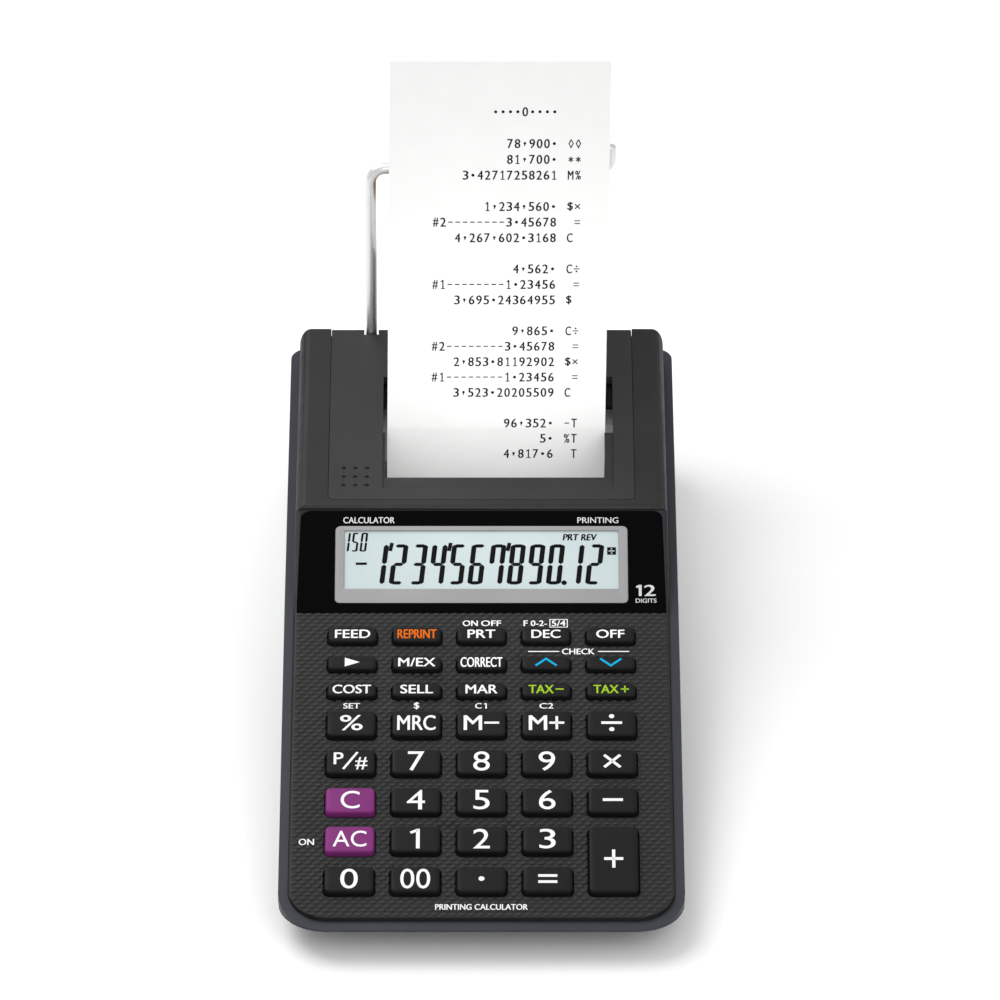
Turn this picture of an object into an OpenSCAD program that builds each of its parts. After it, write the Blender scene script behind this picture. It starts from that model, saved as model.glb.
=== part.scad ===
// Desk printing calculator: a wedge-shaped case with a keypad, a tilted display, a lift-off
// printer cover and a paper roll on a folding wire arm. Millimetres, +Z up, +Y to the rear.

/* [Case] */
// Width of the lower case
case_w = 102; // [102:0.5:106]
// Length of the lower case, front edge to rear edge
case_l = 209; // [209:0.5:211]
// Wall thickness of the lower case
wall_t = 2.4; // [2.2:0.1:2.4]
// Corner radius of the lower case at the front
front_r = 12; // [10:0.5:13]
// Corner radius of the lower case at the rear
rear_r = 4; // [3:0.5:5]
// Width of the ledge left showing around the upper case
ledge_w = 2.5; // [2.5:0.05:2.7]
// Wall thickness of the upper case
shell_t = 1.6; // [1.4:0.1:1.6]

/* [Keypad] */
// Slope of the keypad in degrees
pad_slope = 9; // [8.8:0.1:9.2]
// Length of the keypad along its slope
pad_len = 102.7; // [102:0.1:103]
// Width of a key's cap
key_w = 12.6; // [12:0.1:12.8]
// Height of a key's cap above the keypad
key_h = 1.5; // [1.2:0.1:2]
// Distance between the columns of keys
key_pitch = 16.6; // [16.4:0.1:16.6]
// Gap around each key
key_gap = 0.3; // [0.25:0.05:0.35]

/* [Display] */
// Slope of the display in degrees
display_slope = 19.8; // [19.6:0.1:20]
// Thickness of the display panel
panel_t = 1.2; // [1:0.1:1.4]
// Width of the display module's bezel
bezel_w = 76; // [74:0.5:77]
// Depth of the display module's bezel along the slope
bezel_d = 23.5; // [22.5:0.5:24]

/* [Printer] */
// Slope of the deck over the printer in degrees
deck_slope = 3.2; // [3:0.1:3.4]
// Width of the printer cover
cover_w = 80; // [79:0.5:80]
// Thickness of the printer cover
cover_t = 2.4; // [2.2:0.1:2.4]
// Radius of the platen roller
platen_r = 5.5; // [5.2:0.1:5.5]

/* [Paper] */
// Width of the paper
paper_w = 57.4; // [57:0.1:57.5]
// Outer radius of the paper roll
roll_r = 22.5; // [15:0.5:22.5]
// Lean of the standing paper back from vertical, in degrees
paper_lean = 14.5; // [14:0.1:15]
// Height of the standing paper's top edge
paper_top = 138.6; // [100:0.1:160]

/* [Arm] */
// Diameter of the wire
wire_d = 3; // [2.8:0.1:3]
// Length of the arm from its pivot to its spindle
arm_len = 65.1; // [64:0.1:66]
// Lean of the arm back from vertical, in degrees
arm_lean = 9.24; // [9:0.01:9.5]

/* [Hidden] */
$fn = 48;
half_w = case_w / 2;
upper_half_w = half_w - ledge_w;

// the lower case: underside height, floor, and the height of its rim from front to rear
floor_z = 1.5;
floor_t = 2;
foot_r = 5;
rim_front = 8.4;
rim_knee_y = 104;
rim_knee = 24.9;
rim_rear = 33.4;
underside_half_w = 46;
underside_front = 10;
underside_rear = 203;

// the upper case: where its surfaces meet, as [y, z]
pad_start = [3.1, 10];
pad_end = pad_start + pad_len * [cos(pad_slope), sin(pad_slope)];
display_end = [134.3, 36.8];
deck_start = [134.3, 38];
upper_rear = case_l - ledge_w;
deck_end = [upper_rear, deck_start[1] + (upper_rear - deck_start[0]) * tan(deck_slope)];
skirt_h = 2.8;
deck_round = 1.15;
// rounding of the long side edges over the keypad, the display and the deck
SIDE_ROUND = [0.8, 0.8, 3];
// thickness of the upper case at its sides and its rear
shell_side = 1.8;
shell_rear = 2;

// the printer cover along the deck, measured from the deck's front edge
cover_start = 2.8;
cover_end = upper_rear - 0.3 - deck_start[0];
opening_x = [-26, 34.7];
opening_y = [7.1, 52.4];
tear_y = 31.8;
tear_t = 0.8;
tooth = 1;
tooth_h = 0.35;
cover_r = [1.5, 0.4];
shelf = [0.8, 2.3, 5.4];
cover_ledge = 2.5;
ledge_t = 1.4;
// grip dots pressed into the cover: the first dot's place, their spacing and their size
dot_start = [-36, 8.4];
dot_pitch = [3.05, 3.4];
dot_r = 0.6;
dot_depth = 0.4;

// the display panel and module: where their middles are up the display's slope
panel_mid = 15.7;
panel_w = [95.6, 94.2];
panel_d = 31.4;
panel_r = [0.4, 2.4];
bezel_mid = 15;
bezel_r = 1.2;
bezel_z = [-3.4, -0.3];

// the paper: its middle, its standing line, the platen behind it and the slot it comes in by
paper_x = 3.7;
paper_t = 0.2;
paper_foot = [161.9, 22];
platen_gap = 0.05;
platen_run = platen_r + platen_gap + paper_t / 2;
platen_c = paper_foot + platen_run * [cos(paper_lean), -sin(paper_lean)];
inlet = [207.9, 37.6];

// the wire arm's pivot and spindle, and the roll that hangs on the spindle
pivot = [203.54, 25];
leg_x = -29.4;
tip_x = 34.1;
wire_r = wire_d / 2;
spindle = pivot + arm_len * [sin(arm_lean), cos(arm_lean)];
POST_X = [-36, -39.5];
post_y = [200.6, 206];
bend_r = 3;
top_bend_r = 4;
tip_rise = 7;
axle_end = -40.6;
notch_half_w = 1.9;
core_r = 6;
core_t = 1;
roll_w = 57;
roll_mid = 3.3;
roll_drop = 0.15;
roll_c = spindle - [0, core_r - wire_r - roll_drop];
// the whole object ends at the back of the paper roll: its middle is the origin
mid_y = (roll_c[0] + roll_r) / 2;

// keys: each row's middle along the keypad and its length, and the width of the key's flange
ROWS = [
    [11.4, 8.7], [24.6, 8.8], [37.6, 8.6], [50.6, 8.4], [63.6, 8.8], [75.1, 4.9], [84.4, 4.8], [94.2, 5.3]
];
plus_row = [18, 22];
key_r = 1.2;
flange_w = 0.8;
flange_t = 1;
KEYS = [
    ["key_feed", 0, 7], ["key_reprint", 1, 7], ["key_print_mode", 2, 7], ["key_decimal_mode", 3, 7],
    ["key_off", 4, 7],
    ["key_backspace", 0, 6], ["key_exchange", 1, 6], ["key_correct", 2, 6], ["key_check_up", 3, 6],
    ["key_check_down", 4, 6],
    ["key_cost", 0, 5], ["key_sell", 1, 5], ["key_margin", 2, 5], ["key_tax_minus", 3, 5],
    ["key_tax_plus", 4, 5],
    ["key_percent", 0, 4], ["key_memory_recall", 1, 4], ["key_memory_minus", 2, 4],
    ["key_memory_plus", 3, 4], ["key_divide", 4, 4],
    ["key_paper_number", 0, 3], ["key_7", 1, 3], ["key_8", 2, 3], ["key_9", 3, 3], ["key_multiply", 4, 3],
    ["key_clear", 0, 2], ["key_4", 1, 2], ["key_5", 2, 2], ["key_6", 3, 2], ["key_minus", 4, 2],
    ["key_all_clear", 0, 1], ["key_1", 1, 1], ["key_2", 2, 1], ["key_3", 3, 1], ["key_plus", 4, -1],
    ["key_0", 0, 0], ["key_00", 1, 0], ["key_point", 2, 0], ["key_equals", 3, 0]
];

// battery bay, in the floor below the display
bay_x = 30.5;
bay_y = [98, 151];
door_travel = 8;
door_t = 1.5;
cell_r = 7.15;
cell_l = 50;
cell_pitch = 14.7;
cell_y = 99.4;
bay_t = 1.2;
terminal_r = 2.7;

// fasteners and the posts they pull together
screw_x = 42.8;
SCREW_Y = [23, 93, 190];
post_r = 2.2;
pilot_r = 1.1;
boss_r = 3.1;
FOOT_Y = [22, 193];
foot_x = 33;

// power socket in the rear wall
jack_x = 38;
jack_z = 15;
jack_r = 4;
jack_bore_r = 2.75;
jack_face = 207;
jack_depth = 9;
jack_body = [4.5, 5.5, 13];

// rubber key mat and circuit board under the keys, measured down from the keypad
board_size = [80, 89];
board_mid = 53;
mat_top = -4.3;
mat_t = 0.9;
board_top = mat_top - mat_t;
board_t = 1.2;
CHIP_X = [-20, 12];

// printing mechanism: side plates, shafts and the carriage in front of the paper
frame_x = [-39, 35.2];
frame_t = 1.4;
frame_y = [144, 193];
frame_z = floor_z + floor_t;
frame_top = 31;
shaft_r = 1.5;
running_gap = 0.05;
guide_c = [148.8, 22];
guide_r = 2;
wheel_r = 4;
wheel_half_w = 2.2;
spindle_r = 1;
wheel_c = paper_foot - (wheel_r + 0.45) * [cos(paper_lean), -sin(paper_lean)];
ink_r = 4.5;
ink_c = wheel_c + (wheel_r + ink_r + 0.4) * [cos(130), sin(130)];
carriage_x = -33;
carriage_w = 7;
carriage_y = [145.5, 152.2];
carriage_z = [18.6, 24.6];
cheek_t = 1.2;
platen_half_w = 29.6;

// --- placing and outlines ---
module in_frame() translate([0, -mid_y, 0]) children();
module at_yz(p) translate([0, p[0], p[1]]) children();
module on_frame_pad() at_yz(pad_start) rotate([pad_slope, 0, 0]) children();
module on_frame_display() at_yz(pad_end) rotate([display_slope, 0, 0]) children();
module on_frame_deck() at_yz(deck_start) rotate([deck_slope, 0, 0]) children();
module on_pad() in_frame() on_frame_pad() children();
module on_display() in_frame() on_frame_display() children();
module on_deck() in_frame() on_frame_deck() children();
// a side outline given as [y, z] points, drawn out across the object
module profile(points, x0, x1)
    translate([x0, 0, 0]) rotate([90, 0, 90]) linear_extrude(x1 - x0) polygon(points);
// a solid round bar across the object
module bar(c, r, x0, x1) translate([x0, c[0], c[1]]) rotate([0, 90, 0]) cylinder(r = r, h = x1 - x0);
module block(x, y, z) translate([x[0], y[0], z[0]]) cube([x[1] - x[0], y[1] - y[0], z[1] - z[0]]);

function arc(c, r, a0, a1, n = 8) =
    [for (i = [0:n]) let (a = a0 + (a1 - a0) * i / n) c + r * [cos(a), sin(a)]];
// plan outline, wide in X and running from y0 to y1, with front corners r0 and rear corners r1
function outline(hw, y0, y1, r0, r1) = concat(
    arc([-hw + r0, y0 + r0], r0, 180, 270), arc([hw - r0, y0 + r0], r0, 270, 360),
    arc([hw - r1, y1 - r1], r1, 0, 90), arc([-hw + r1, y1 - r1], r1, 90, 180)
);
module plate(hw, y0, y1, r0, r1, z0, z1)
    translate([0, 0, z0]) linear_extrude(z1 - z0) polygon(outline(hw, y0, y1, r0, r1));
function rim_z(y) = y < rim_knee_y
    ? rim_front + (rim_knee - rim_front) * y / rim_knee_y
    : rim_knee + (rim_rear - rim_knee) * (y - rim_knee_y) / (case_l - rim_knee_y);
// a rounded bar seen from above, centred on [x, y]
module pill(x, y, w, d, r, z0, z1)
    translate([x, y, z0]) linear_extrude(z1 - z0) polygon(outline(w / 2, -d / 2, d / 2, r, r));
// repeats a shape at each screw of the case; $front tells the short front pair from the others
module at_screws() for (sx = [-1, 1], y = SCREW_Y) translate([sx * screw_x, y, 0]) {
    $front = y < 50;
    children();
}

// --- case ---
module lower_outer() hull() {
    plate(underside_half_w, underside_front, underside_rear, 9, 5, floor_z, floor_z + 0.5);
    intersection() {
        plate(half_w, 0, case_l, front_r, rear_r, 0, 60);
        profile([[0, rim_front], [rim_knee_y, rim_knee], [case_l, rim_rear], [case_l, rim_rear - 3],
                 [rim_knee_y, rim_knee - 3], [9, rim_z(9) - 2.6], [0, rim_front - 0.5]], -half_w, half_w);
    }
}
module lower_inner() hull() {
    plate(underside_half_w - wall_t, underside_front + 3, underside_rear - wall_t, 6, 3,
          floor_z + floor_t, floor_z + floor_t + 0.5);
    intersection() {
        plate(half_w - wall_t, pad_start[0] - 0.1, case_l - wall_t, front_r - wall_t, rear_r - 2, 0, 60);
        profile([[0, rim_front - 0.2], [0, 50], [case_l, 50], [case_l, rim_rear - 3.1],
                 [rim_knee_y, rim_knee - 3.1], [9, rim_z(9) - 2.9]], -half_w, half_w);
    }
}
module door_shape(grow, y0, y1) {
    block([-bay_x - grow, bay_x + grow], [y0, y1], [floor_z - 0.01, floor_z + door_t + grow / 2]);
    block([-bay_x - 1.2 - grow, bay_x + 1.2 + grow], [y0, y1],
          [floor_z + 0.6 - grow / 2, floor_z + door_t + grow / 2]);
}
// one of the two posts that carry the wire arm's axle
module arm_post(x) difference() {
    profile([[post_y[0] - 3, floor_z + 1], [post_y[0] + 1, floor_z + 1], [post_y[1], 22],
             [post_y[1], pivot[1] + 2.6], [post_y[0], pivot[1] + 2.6]], x, x + 2);
    bar(pivot, wire_r + running_gap, x - 1, x + 3);
}
module lower_case() color("#3c3e43") in_frame() difference() {
    union() {
        difference() {
            lower_outer();
            lower_inner();
        }
        at_screws() translate([0, 0, floor_z + 0.5]) cylinder(r = boss_r, h = $front ? 4 : 9);
        // walls of the battery bay and the pad over the door's finger recess
        block([-bay_x - 1.9, bay_x + 1.9], [bay_y[0] - door_travel - 1.4, bay_y[1] + bay_t],
              [floor_z + 1, floor_z + 3]);
        for (y = [bay_y[0] - bay_t, bay_y[1]]) block([-bay_x, bay_x], [y, y + bay_t], [floor_z + 1, 15]);
        for (x = [-bay_x, bay_x - bay_t])
            block([x, x + bay_t], [bay_y[0] - bay_t, bay_y[1] + bay_t], [floor_z + 1, 12]);
        for (x = POST_X) arm_post(x);
    }
    at_screws() {
        cylinder(r = 1.4, h = 14);
        cylinder(r = 2.7, h = floor_z + 1.4);
    }
    for (sx = [-1, 1], y = FOOT_Y)
        translate([sx * foot_x, y, 0]) cylinder(r = foot_r + 0.05, h = floor_z + 0.8);
    block([-bay_x + 1.2, bay_x - 1.2], bay_y, [0, 20]);
    door_shape(0.1, bay_y[0] - door_travel - 0.2, bay_y[1]);
    // socket hole, and the notch that the arm folds down into
    translate([jack_x, case_l + 1, jack_z]) rotate([90, 0, 0]) cylinder(r = jack_r + 0.1, h = 12);
    block([leg_x - notch_half_w, leg_x + notch_half_w], [200, case_l + 1], [pivot[1] - 2.6, 60]);
}

function upper_top(drop) = let (d = drop)
    [[0, pad_start[1] - pad_start[0] * tan(pad_slope) - d / cos(pad_slope)],
     [pad_end[0] + d * 0.28, pad_end[1] - d * 0.97],
     [display_end[0] + d * 0.9, display_end[1] - d * 0.73],
     [display_end[0] + d * 0.9, deck_start[1] - d * 0.95],
     [deck_end[0] + 2, deck_end[1] + 0.11 - d]];
// the same outline at the outer surface, with the deck's front edge rounded
function upper_outer() = let (t = upper_top(0), r = deck_round)
    concat([t[0], t[1], t[2]], arc(deck_start + r * [1, -0.95], r, 180, 90 + deck_slope, 6), [t[4]]);
// a long bar with its two upper edges rounded, to trim the sides of one sloping surface
module soft_bar(r, s0, s1) translate([0, s1, 0]) rotate([90, 0, 0]) linear_extrude(s1 - s0)
    polygon(concat([[-upper_half_w, -60], [upper_half_w, -60]],
                   arc([upper_half_w - r, -r], r, 0, 90), arc([-upper_half_w + r, -r], r, 90, 180)));
module upper_body() intersection() {
    union() {
        on_frame_pad() soft_bar(SIDE_ROUND[0], -12, pad_len + 10);
        on_frame_display() soft_bar(SIDE_ROUND[1], 0, norm(display_end - pad_end));
        on_frame_deck() soft_bar(SIDE_ROUND[2], -0.01, 90);
    }
    plate(upper_half_w, pad_start[0], upper_rear, front_r - ledge_w, rear_r - 1, 0, 60);
    profile(concat(upper_outer(), [
        [deck_end[0] + 2, rim_z(upper_rear) - skirt_h], [rim_knee_y, rim_knee - skirt_h],
        [8, rim_z(8) - skirt_h + 0.3], [pad_start[0], rim_z(3.1) - 0.1], [0, rim_z(3.1) - 0.1]
    ]), -60, 60);
}
module upper_hollow() intersection() {
    plate(upper_half_w - shell_side, pad_start[0] + shell_side, upper_rear - shell_rear,
          front_r - ledge_w - shell_side, rear_r - shell_rear, -1, 60);
    profile(concat(upper_top(shell_t), [[deck_end[0] + 2, -1], [0, -1]]), -60, 60);
}
module key_outline(key, grow, z0, z1) {
    row = key[2] < 0 ? plus_row : ROWS[key[2]];
    pill((key[1] - 2) * key_pitch, row[0], key_w + 2 * grow, row[1] + 2 * grow, key_r + grow, z0, z1);
}
// the panel's outline: nearly square corners below, rounded ones and a narrower edge above
module display_outline(grow, z0, z1)
    translate([0, panel_mid, z0]) linear_extrude(z1 - z0) offset(delta = grow) polygon(concat(
        arc([-panel_w[0] / 2 + panel_r[0], -panel_d / 2 + panel_r[0]], panel_r[0], 180, 270),
        arc([panel_w[0] / 2 - panel_r[0], -panel_d / 2 + panel_r[0]], panel_r[0], 270, 360),
        arc([panel_w[1] / 2 - panel_r[1], panel_d / 2 - panel_r[1]], panel_r[1], 0, 90),
        arc([-panel_w[1] / 2 + panel_r[1], panel_d / 2 - panel_r[1]], panel_r[1], 90, 180)
    ));
module bezel_outline(grow, z0, z1)
    pill(0, bezel_mid, bezel_w + 2 * grow, bezel_d + 2 * grow, bezel_r, z0, z1);
module upper_case() color("#3a3a3a") difference() {
    union() {
        in_frame() difference() {
            upper_body();
            upper_hollow();
        }
        // floor under the display panel
        on_display() pill(0, 15.6, 92, 30, 1, -panel_t - 1.4, -panel_t + 0.2);
        // the ledge that the printer cover rests on
        on_deck() block([-cover_w / 2 - 1.5, cover_w / 2 + 1.5], [cover_start - 1.5, 71],
                        [-cover_t - ledge_t, -0.5]);
        // screw posts down from the shell
        in_frame() intersection() {
            at_screws() translate([0, 0, $front ? 6.2 : 11.2]) cylinder(r = post_r, h = 30);
            profile(concat(upper_top(0.4), [[deck_end[0] + 2, -1], [0, -1]]), -60, 60);
        }
    }
    in_frame() at_screws() cylinder(r = pilot_r, h = $front ? 10.4 : 21);
    for (key = KEYS) on_pad() key_outline(key, key_gap, -4, 1);
    on_display() display_outline(0.05, -panel_t, 3);
    on_display() bezel_outline(0.2, -5, 3);
    // seat of the printer cover, and the opening under it
    on_deck() cover_outline(0.15, 80, -cover_t, 3);
    on_deck() block([-cover_w / 2 + cover_ledge, cover_w / 2 - cover_ledge],
                    [cover_start + cover_ledge, 69], [-6, 1]);
    // rear wall: paper inlet and the notch that the arm folds down into
    in_frame() block([-27, 35], [200, case_l], [inlet[1] - 2.6, 60]);
    in_frame() block([leg_x - notch_half_w, leg_x + notch_half_w], [200, case_l],
                     [pivot[1], 60]);
}

module cover_outline(grow, s1, z0, z1)
    plate(cover_w / 2 + grow, cover_start - grow, s1, cover_r[0] + grow, cover_r[1], z0, z1);
module printer_cover() color("#474747") on_deck() difference() {
    cover_outline(0, cover_end, -cover_t, 0);
    block([opening_x[0], opening_x[1]], [opening_y[0], tear_y], [-tear_t - 0.05, 1]);
    block([opening_x[0] + shelf[0], opening_x[1] - shelf[1]], [opening_y[0] + shelf[2], opening_y[1]],
          [-cover_t - 1, 1]);
    block([opening_x[0], opening_x[1]], [tear_y - 1.2, opening_y[1]], [-cover_t - 1, 1]);
    block([leg_x - notch_half_w, leg_x + notch_half_w], [cover_end - 2, cover_end + 1],
          [-cover_t - 1, 1]);
    for (i = [0:2], j = [0:2])
        translate([dot_start[0] + i * dot_pitch[0], dot_start[1] + j * dot_pitch[1], -dot_depth])
            cylinder(r = dot_r, h = 1);
}
// clear cutter over the paper, with small teeth along its rear edge
module tear_bar() color("#202428", 0.8) on_deck() {
    teeth = floor((opening_x[1] - opening_x[0] - 0.2) / tooth);
    x0 = opening_x[0] + 0.1;
    translate([0, 0, -tear_t]) linear_extrude(tear_t) polygon(concat(
        [[opening_x[1] - 0.1, opening_y[0] + 0.05], [x0, opening_y[0] + 0.05]],
        [for (i = [0:teeth - 1], p = [[0, -tooth_h], [0.5, 0]]) [x0 + (i + p[0]) * tooth, tear_y + p[1]]],
        [[opening_x[1] - 0.1, tear_y - tooth_h]]
    ));
}
module display_panel() color("#101010") on_display() difference() {
    display_outline(0, -panel_t, 0);
    bezel_outline(0.1, -5, 1);
}
module lcd_module() color("#d5e2e3") on_display() {
    bezel_outline(0, bezel_z[0], bezel_z[1]);
    block([-35, 35], [6, 25], [bezel_z[0] - 1.6, bezel_z[0]]);
}
module battery_door() color("#3c3e43") in_frame() difference() {
    door_shape(-0.05, bay_y[0] - 0.3, bay_y[1] - 0.2);
    for (i = [0:3]) block([-9, 9], [bay_y[0] + 3 + i * 2, bay_y[0] + 4 + i * 2], [0, floor_z + 0.5]);
}
module case_screws() color("#8c8c90") in_frame() at_screws() difference() {
    union() {
        translate([0, 0, floor_z + 0.1]) cylinder(r = 2.5, h = 1.3);
        translate([0, 0, floor_z + 1.3]) cylinder(r = pilot_r - 0.05, h = $front ? 6.6 : 13);
    }
    for (a = [0, 90])
        translate([0, 0, floor_z]) rotate([0, 0, a]) translate([-1.3, -0.3, 0]) cube([2.6, 0.6, 0.9]);
}
module rubber_feet() color("#1c1c1c") in_frame()
    for (sx = [-1, 1], y = FOOT_Y) translate([sx * foot_x, y, 0]) cylinder(r = foot_r, h = floor_z + 0.8);

// --- paper and its arm ---
module wire_bend(c, r, start)
    translate([c[0], 0, c[1]]) rotate([90, 0, 0]) rotate([0, 0, start])
        rotate_extrude(angle = 90) translate([r, 0]) circle(r = wire_r);
module paper_arm() color("#d8dadc") in_frame() at_yz(pivot) rotate([-arm_lean, 0, 0]) {
    bar([0, 0], wire_r, axle_end, leg_x - bend_r);
    wire_bend([leg_x - bend_r, bend_r], bend_r, -90);
    translate([leg_x, 0, bend_r]) cylinder(r = wire_r, h = arm_len - bend_r - top_bend_r);
    wire_bend([leg_x + top_bend_r, arm_len - top_bend_r], top_bend_r, 90);
    bar([0, arm_len], wire_r, leg_x + top_bend_r, tip_x - bend_r);
    wire_bend([tip_x - bend_r, arm_len + bend_r], bend_r, -90);
    translate([tip_x, 0, arm_len + bend_r]) cylinder(r = wire_r, h = tip_rise - bend_r);
}
module ring(c, r0, r1, x0, x1) difference() {
    bar(c, r1, x0, x1);
    bar(c, r0, x0 - 1, x1 + 1);
}
module paper_roll() color("#f4f4f2") in_frame() {
    ring(roll_c, core_r + core_t, roll_r, roll_mid - roll_w / 2, roll_mid + roll_w / 2);
    ring(roll_c, core_r, core_r + core_t, roll_mid - roll_w / 2, roll_mid + roll_w / 2);
}
// the paper from the inlet, under and around the platen, to its standing top edge
function up_line(z) = paper_foot + (z - paper_foot[1]) * [tan(paper_lean), 1];
function paper_path(off) =
    let (v = inlet - platen_c, turn = atan2(v[1], v[0]) - acos(platen_run / norm(v)))
    concat([inlet + off * [cos(turn), sin(turn)]],
           arc(platen_c, platen_run + off, turn, -180 - paper_lean, 14),
           [up_line(paper_top) + off * [-cos(paper_lean), sin(paper_lean)]]);
function reversed(list) = [for (i = [len(list) - 1:-1:0]) list[i]];
module paper_strip() color("#fbfbfa") in_frame()
    profile(concat(paper_path(paper_t / 2), reversed(paper_path(-paper_t / 2))),
            paper_x - paper_w / 2, paper_x + paper_w / 2);

// --- electronics ---
module dc_jack() color("#1a1a1a") in_frame() difference() {
    union() {
        translate([jack_x, jack_face, jack_z]) rotate([90, 0, 0]) cylinder(r = jack_r, h = 10.5);
        block([jack_x - jack_body[0], jack_x + jack_body[0]],
              [jack_face - jack_body[2], jack_face - jack_body[1]],
              [jack_z - jack_body[0], jack_z + jack_body[0]]);
    }
    translate([jack_x, jack_face + 1, jack_z]) rotate([90, 0, 0])
        cylinder(r = jack_bore_r, h = jack_depth + 1);
}
module keypad_rubber() color("#b8b8b0") on_pad()
    pill(0, board_mid, board_size[0], board_size[1], 2, board_top, mat_top);
module main_board() color("#2c6b3c") on_pad() {
    pill(0, board_mid, board_size[0], board_size[1], 1, board_top - board_t, board_top);
    for (x = CHIP_X) block([x, x + 12], [62, 74], [board_top - board_t - 1.6, board_top - board_t]);
}
module batteries() color("#8a6a30") in_frame()
    for (i = [-1.5:1.5])
        translate([i * cell_pitch, cell_y, floor_z + door_t + 0.4 + cell_r]) rotate([-90, 0, 0]) {
            cylinder(r = cell_r, h = cell_l - 1);
            cylinder(r = terminal_r, h = cell_l);
        }

// --- printing mechanism ---
module printer_frame() color("#9a9ca0") in_frame() difference() {
    union() {
        for (x = frame_x) block([x, x + frame_t], [frame_y[0], frame_y[1]], [frame_z, frame_top]);
        block([frame_x[0], frame_x[1] + frame_t], [frame_y[0] + 9, frame_y[1]], [frame_z, frame_z + 1.4]);
        // guide shaft of the carriage, and the plate that guides the paper up to the platen
        bar(guide_c, guide_r, frame_x[0], frame_x[1]);
        profile([[178, 18], [192, 26.1], [192, 24.7], [178, 16.6]], frame_x[0], frame_x[1]);
    }
    bar(platen_c, shaft_r + running_gap, -60, 60);
}
module platen_roller() color("#26262a") in_frame() {
    bar(platen_c, platen_r, paper_x - platen_half_w, paper_x + platen_half_w);
    bar(platen_c, shaft_r, frame_x[0] - 1.5, frame_x[1] + frame_t + 1.5);
}
// a side cheek of the carriage, with its bearings for the type wheel and the ink roller
module cheek(x)
    profile([[carriage_y[0], carriage_z[0]], [carriage_y[1], carriage_z[0]],
             [wheel_c[0] + 1.8, wheel_c[1] - 2], [wheel_c[0] + 1.8, wheel_c[1] + 2],
             [ink_c[0] + 2, ink_c[1] + 2], [ink_c[0] - 2, ink_c[1] + 2],
             [carriage_y[0], carriage_z[1]]], x, x + cheek_t);
module print_carriage() color("#d8d8d4") in_frame() difference() {
    union() {
        block([carriage_x - carriage_w / 2, carriage_x + carriage_w / 2], carriage_y, carriage_z);
        for (x = [-carriage_w / 2, carriage_w / 2 - cheek_t]) cheek(carriage_x + x);
    }
    bar(guide_c, guide_r + running_gap, -60, 60);
    for (c = [wheel_c, ink_c]) bar(c, spindle_r + running_gap, -60, 60);
}
module type_wheel() color("#303034") in_frame() {
    bar(wheel_c, wheel_r, carriage_x - wheel_half_w, carriage_x + wheel_half_w);
    bar(wheel_c, spindle_r, carriage_x - carriage_w / 2 - 0.5, carriage_x + carriage_w / 2 + 0.5);
}
module ink_roller() color("#3b2a66") in_frame() {
    bar(ink_c, ink_r, carriage_x - wheel_half_w, carriage_x + wheel_half_w);
    bar(ink_c, spindle_r, carriage_x - carriage_w / 2 - 0.5, carriage_x + carriage_w / 2 + 0.5);
}

// --- keys: a cap through the keypad, and a flange that holds it in from below ---
function key_color(name) = name == "key_clear" || name == "key_all_clear" ? "#963c8c" : "#2d2d2d";
module key_cap(key) color(key_color(key[0])) on_pad() {
    key_outline(key, 0, -shell_t - key_gap - flange_t, key_h);
    key_outline(key, flange_w, -shell_t - key_gap - flange_t, -shell_t - key_gap);
}

lower_case();
upper_case();
printer_cover();
tear_bar();
display_panel();
lcd_module();
battery_door();
case_screws();
rubber_feet();
paper_arm();
paper_roll();
paper_strip();
dc_jack();
keypad_rubber();
main_board();
batteries();
printer_frame();
platen_roller();
print_carriage();
type_wheel();
ink_roller();
for (key = KEYS) key_cap(key);
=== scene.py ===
import math

import bpy
import numpy as np
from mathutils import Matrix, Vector


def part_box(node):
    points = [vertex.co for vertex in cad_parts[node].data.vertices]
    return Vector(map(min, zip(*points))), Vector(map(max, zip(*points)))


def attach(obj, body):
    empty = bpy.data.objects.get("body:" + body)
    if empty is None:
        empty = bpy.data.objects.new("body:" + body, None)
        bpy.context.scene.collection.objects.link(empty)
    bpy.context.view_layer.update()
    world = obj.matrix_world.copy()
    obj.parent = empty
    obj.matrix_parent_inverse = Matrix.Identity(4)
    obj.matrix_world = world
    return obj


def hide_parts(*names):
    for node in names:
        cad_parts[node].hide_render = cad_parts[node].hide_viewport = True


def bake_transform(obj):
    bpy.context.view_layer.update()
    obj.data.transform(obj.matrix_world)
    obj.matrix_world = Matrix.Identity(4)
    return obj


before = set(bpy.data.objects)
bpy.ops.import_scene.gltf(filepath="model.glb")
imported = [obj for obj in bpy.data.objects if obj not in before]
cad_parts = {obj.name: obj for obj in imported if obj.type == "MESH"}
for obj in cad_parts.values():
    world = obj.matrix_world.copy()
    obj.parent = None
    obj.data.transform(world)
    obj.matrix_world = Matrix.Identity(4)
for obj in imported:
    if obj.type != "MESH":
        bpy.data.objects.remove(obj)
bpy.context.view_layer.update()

# Sizes below are in millimetres, measured from the front edge of the case, and turned into the
# frame's metres by a Plane. The slopes and starting points are those of the case's own surfaces.
MM = 0.001
CASE_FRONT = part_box("lower_case")[0].y
UPPER_FRONT = (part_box("upper_case")[0].y - CASE_FRONT) / MM
UPPER_HALF_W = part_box("upper_case")[1].x / MM
PAD_SLOPE, PAD_START_Z, PAD_LEN = 9.0, 10.0, 102.7
DISPLAY_SLOPE = 19.8
DECK_SLOPE, DECK_START = 3.2, (134.3, 38.0)


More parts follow.
